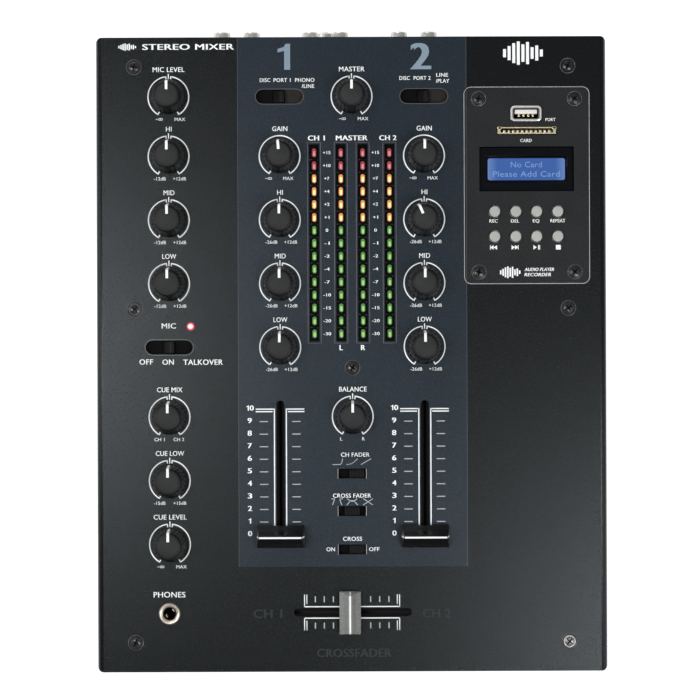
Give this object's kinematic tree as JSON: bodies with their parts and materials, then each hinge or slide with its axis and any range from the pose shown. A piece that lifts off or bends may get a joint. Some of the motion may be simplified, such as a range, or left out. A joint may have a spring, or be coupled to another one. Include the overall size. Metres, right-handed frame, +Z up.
{
  "type": "dj mixer",
  "caption": "Table-top DJ mixer: black steel case, rotary knobs, channel faders, crossfader, level meters, player module with screen and buttons, rear sockets.",
  "frame": {"origin": "on the table surface under the middle of the bounding box", "axes": "+Z up, +X to the right and +Y to the rear as the person at the controls sees it"},
  "size_m": [0.254, 0.3224, 0.1077],
  "materials": {
    "powder_coat_black": "satin",
    "slate_paint": "satin",
    "plate_black": "satin",
    "print_white": "matte",
    "print_dim": "matte",
    "rubber_black": "matte",
    "control_black": "satin",
    "cap_grey": "satin",
    "button_grey": "satin",
    "nickel": "polished",
    "tinned_steel": "satin",
    "screw_black": "satin",
    "plastic_black": "satin",
    "plastic_white": "satin",
    "plastic_red": "satin",
    "board_green": "satin",
    "screen_blue": "polished",
    "lamp_red": "polished",
    "lamp_green": "polished",
    "lamp_amber": "polished",
    "core_steel": "satin",
    "copper": "satin"
  },
  "bodies": {
    "case": {"top_panel": "powder_coat_black", "base_tray": "powder_coat_black", "foot_front_left": "rubber_black", "foot_rear_left": "rubber_black", "foot_front_right": "rubber_black", "foot_rear_right": "rubber_black", "fader_ch1_body": "tinned_steel", "fader_ch2_body": "tinned_steel", "crossfader_body": "tinned_steel", "control_board": "board_green", "meter_block": "plastic_black", "phones_bush": "nickel", "phones_jack": "plastic_black", "player_plate": "plate_black", "stick_socket": "nickel", "card_socket": "tinned_steel", "screen_module": "plastic_black", "screen_glass": "screen_blue", "player_board": "board_green", "rear_board": "plastic_black", "ground_post": "nickel", "mic_input": "plastic_black", "mains_inlet": "plastic_black", "transformer": "core_steel", "power_board": "board_green"},
    "knob_mic_level": {"knob_mic_level": "control_black"},
    "knob_master": {"knob_master": "control_black"},
    "knob_balance": {"knob_balance": "control_black"},
    "knob_mic_hi": {"knob_mic_hi": "control_black"},
    "knob_mic_mid": {"knob_mic_mid": "control_black"},
    "knob_mic_low": {"knob_mic_low": "control_black"},
    "knob_cue_mix": {"knob_cue_mix": "control_black"},
    "knob_cue_low": {"knob_cue_low": "control_black"},
    "knob_cue_level": {"knob_cue_level": "control_black"},
    "knob_ch1_gain": {"knob_ch1_gain": "control_black"},
    "knob_ch1_hi": {"knob_ch1_hi": "control_black"},
    "knob_ch1_mid": {"knob_ch1_mid": "control_black"},
    "knob_ch1_low": {"knob_ch1_low": "control_black"},
    "knob_ch2_gain": {"knob_ch2_gain": "control_black"},
    "knob_ch2_hi": {"knob_ch2_hi": "control_black"},
    "knob_ch2_mid": {"knob_ch2_mid": "control_black"},
    "knob_ch2_low": {"knob_ch2_low": "control_black"},
    "fader_ch1_cap": {"fader_ch1_cap": "control_black"},
    "fader_ch2_cap": {"fader_ch2_cap": "control_black"},
    "crossfader_cap": {"crossfader_cap": "cap_grey"},
    "switch_ch1_input": {"switch_ch1_input": "control_black"},
    "switch_ch2_input": {"switch_ch2_input": "control_black"},
    "switch_mic": {"switch_mic": "control_black"},
    "switch_channel_curve": {"switch_channel_curve": "control_black"},
    "switch_cross_curve": {"switch_cross_curve": "control_black"},
    "switch_cross_enable": {"switch_cross_enable": "control_black"},
    "button_record": {"button_record": "button_grey"},
    "button_delete": {"button_delete": "button_grey"},
    "button_equaliser": {"button_equaliser": "button_grey"},
    "button_repeat": {"button_repeat": "button_grey"},
    "button_previous": {"button_previous": "button_grey"},
    "button_next": {"button_next": "button_grey"},
    "button_play": {"button_play": "button_grey"},
    "button_stop": {"button_stop": "button_grey"},
    "power_rocker": {"power_rocker": "plastic_black"}
  },
  "joints": [
    {"name": "knob_mic_level_turn", "type": "hinge", "parent": "case", "child": "knob_mic_level", "pos_m": [-0.0908, 0.1252, 0.1], "axis": [0, 0, 1], "range_deg": [-145, 145]},
    {"name": "knob_master_turn", "type": "hinge", "parent": "case", "child": "knob_master", "pos_m": [0.0004, 0.1252, 0.1], "axis": [0, 0, 1], "range_deg": [-145, 145]},
    {"name": "knob_balance_turn", "type": "hinge", "parent": "case", "child": "knob_balance", "pos_m": [0.0004, -0.0342, 0.1], "axis": [0, 0, 1], "range_deg": [-145, 145]},
    {"name": "knob_mic_hi_turn", "type": "hinge", "parent": "case", "child": "knob_mic_hi", "pos_m": [-0.0908, 0.0956, 0.1], "axis": [0, 0, 1], "range_deg": [-145, 145]},
    {"name": "knob_mic_mid_turn", "type": "hinge", "parent": "case", "child": "knob_mic_mid", "pos_m": [-0.0908, 0.0639, 0.1], "axis": [0, 0, 1], "range_deg": [-145, 145]},
    {"name": "knob_mic_low_turn", "type": "hinge", "parent": "case", "child": "knob_mic_low", "pos_m": [-0.0908, 0.0322, 0.1], "axis": [0, 0, 1], "range_deg": [-145, 145]},
    {"name": "knob_cue_mix_turn", "type": "hinge", "parent": "case", "child": "knob_cue_mix", "pos_m": [-0.0908, -0.0342, 0.1], "axis": [0, 0, 1], "range_deg": [-145, 145]},
    {"name": "knob_cue_low_turn", "type": "hinge", "parent": "case", "child": "knob_cue_low", "pos_m": [-0.0908, -0.0659, 0.1], "axis": [0, 0, 1], "range_deg": [-145, 145]},
    {"name": "knob_cue_level_turn", "type": "hinge", "parent": "case", "child": "knob_cue_level", "pos_m": [-0.0908, -0.0976, 0.1], "axis": [0, 0, 1], "range_deg": [-145, 145]},
    {"name": "knob_ch1_gain_turn", "type": "hinge", "parent": "case", "child": "knob_ch1_gain", "pos_m": [-0.03555, 0.0956, 0.1], "axis": [0, 0, 1], "range_deg": [-145, 145]},
    {"name": "knob_ch1_hi_turn", "type": "hinge", "parent": "case", "child": "knob_ch1_hi", "pos_m": [-0.03555, 0.0639, 0.1], "axis": [0, 0, 1], "range_deg": [-145, 145]},
    {"name": "knob_ch1_mid_turn", "type": "hinge", "parent": "case", "child": "knob_ch1_mid", "pos_m": [-0.03555, 0.0322, 0.1], "axis": [0, 0, 1], "range_deg": [-145, 145]},
    {"name": "knob_ch1_low_turn", "type": "hinge", "parent": "case", "child": "knob_ch1_low", "pos_m": [-0.03555, 0.0005, 0.1], "axis": [0, 0, 1], "range_deg": [-145, 145]},
    {"name": "knob_ch2_gain_turn", "type": "hinge", "parent": "case", "child": "knob_ch2_gain", "pos_m": [0.03635, 0.0956, 0.1], "axis": [0, 0, 1], "range_deg": [-145, 145]},
    {"name": "knob_ch2_hi_turn", "type": "hinge", "parent": "case", "child": "knob_ch2_hi", "pos_m": [0.03635, 0.0639, 0.1], "axis": [0, 0, 1], "range_deg": [-169, 121]},
    {"name": "knob_ch2_mid_turn", "type": "hinge", "parent": "case", "child": "knob_ch2_mid", "pos_m": [0.03635, 0.0322, 0.1], "axis": [0, 0, 1], "range_deg": [-145, 145]},
    {"name": "knob_ch2_low_turn", "type": "hinge", "parent": "case", "child": "knob_ch2_low", "pos_m": [0.03635, 0.0005, 0.1], "axis": [0, 0, 1], "range_deg": [-145, 145]},
    {"name": "fader_ch1_slide", "type": "slide", "parent": "case", "child": "fader_ch1_cap", "axis": [0, 1, 0], "range_m": [0, 0.06]},
    {"name": "fader_ch2_slide", "type": "slide", "parent": "case", "child": "fader_ch2_cap", "axis": [0, 1, 0], "range_m": [0, 0.06]},
    {"name": "crossfader_slide", "type": "slide", "parent": "case", "child": "crossfader_cap", "axis": [1, 0, 0], "range_m": [-0.0211, 0.0239]},
    {"name": "switch_ch1_input_slide", "type": "slide", "parent": "case", "child": "switch_ch1_input", "axis": [1, 0, 0], "range_m": [-0.006, 0.006]},
    {"name": "switch_ch2_input_slide", "type": "slide", "parent": "case", "child": "switch_ch2_input", "axis": [1, 0, 0], "range_m": [-0.006, 0.006]},
    {"name": "switch_mic_slide", "type": "slide", "parent": "case", "child": "switch_mic", "axis": [1, 0, 0], "range_m": [-0.006, 0.006]},
    {"name": "switch_channel_curve_slide", "type": "slide", "parent": "case", "child": "switch_channel_curve", "axis": [1, 0, 0], "range_m": [-0.0048, 0]},
    {"name": "switch_cross_curve_slide", "type": "slide", "parent": "case", "child": "switch_cross_curve", "axis": [1, 0, 0], "range_m": [-0.0024, 0.0024]},
    {"name": "switch_cross_enable_slide", "type": "slide", "parent": "case", "child": "switch_cross_enable", "axis": [1, 0, 0], "range_m": [-0.0048, 0]},
    {"name": "button_record_press", "type": "slide", "parent": "case", "child": "button_record", "axis": [0, 0, -1], "range_m": [0, 0.0005], "stiffness_N_per_m": 600, "springref_m": -0.0005},
    {"name": "button_delete_press", "type": "slide", "parent": "case", "child": "button_delete", "axis": [0, 0, -1], "range_m": [0, 0.0005], "stiffness_N_per_m": 600, "springref_m": -0.0005},
    {"name": "button_equaliser_press", "type": "slide", "parent": "case", "child": "button_equaliser", "axis": [0, 0, -1], "range_m": [0, 0.0005], "stiffness_N_per_m": 600, "springref_m": -0.0005},
    {"name": "button_repeat_press", "type": "slide", "parent": "case", "child": "button_repeat", "axis": [0, 0, -1], "range_m": [0, 0.0005], "stiffness_N_per_m": 600, "springref_m": -0.0005},
    {"name": "button_previous_press", "type": "slide", "parent": "case", "child": "button_previous", "axis": [0, 0, -1], "range_m": [0, 0.0005], "stiffness_N_per_m": 600, "springref_m": -0.0005},
    {"name": "button_next_press", "type": "slide", "parent": "case", "child": "button_next", "axis": [0, 0, -1], "range_m": [0, 0.0005], "stiffness_N_per_m": 600, "springref_m": -0.0005},
    {"name": "button_play_press", "type": "slide", "parent": "case", "child": "button_play", "axis": [0, 0, -1], "range_m": [0, 0.0005], "stiffness_N_per_m": 600, "springref_m": -0.0005},
    {"name": "button_stop_press", "type": "slide", "parent": "case", "child": "button_stop", "axis": [0, 0, -1], "range_m": [0, 0.0005], "stiffness_N_per_m": 600, "springref_m": -0.0005},
    {"name": "power_rocker_tilt", "type": "hinge", "parent": "case", "child": "power_rocker", "pos_m": [0.098, 0.1504, 0.0585], "axis": [1, 0, 0], "range_deg": [-20, 0]}
  ]
}
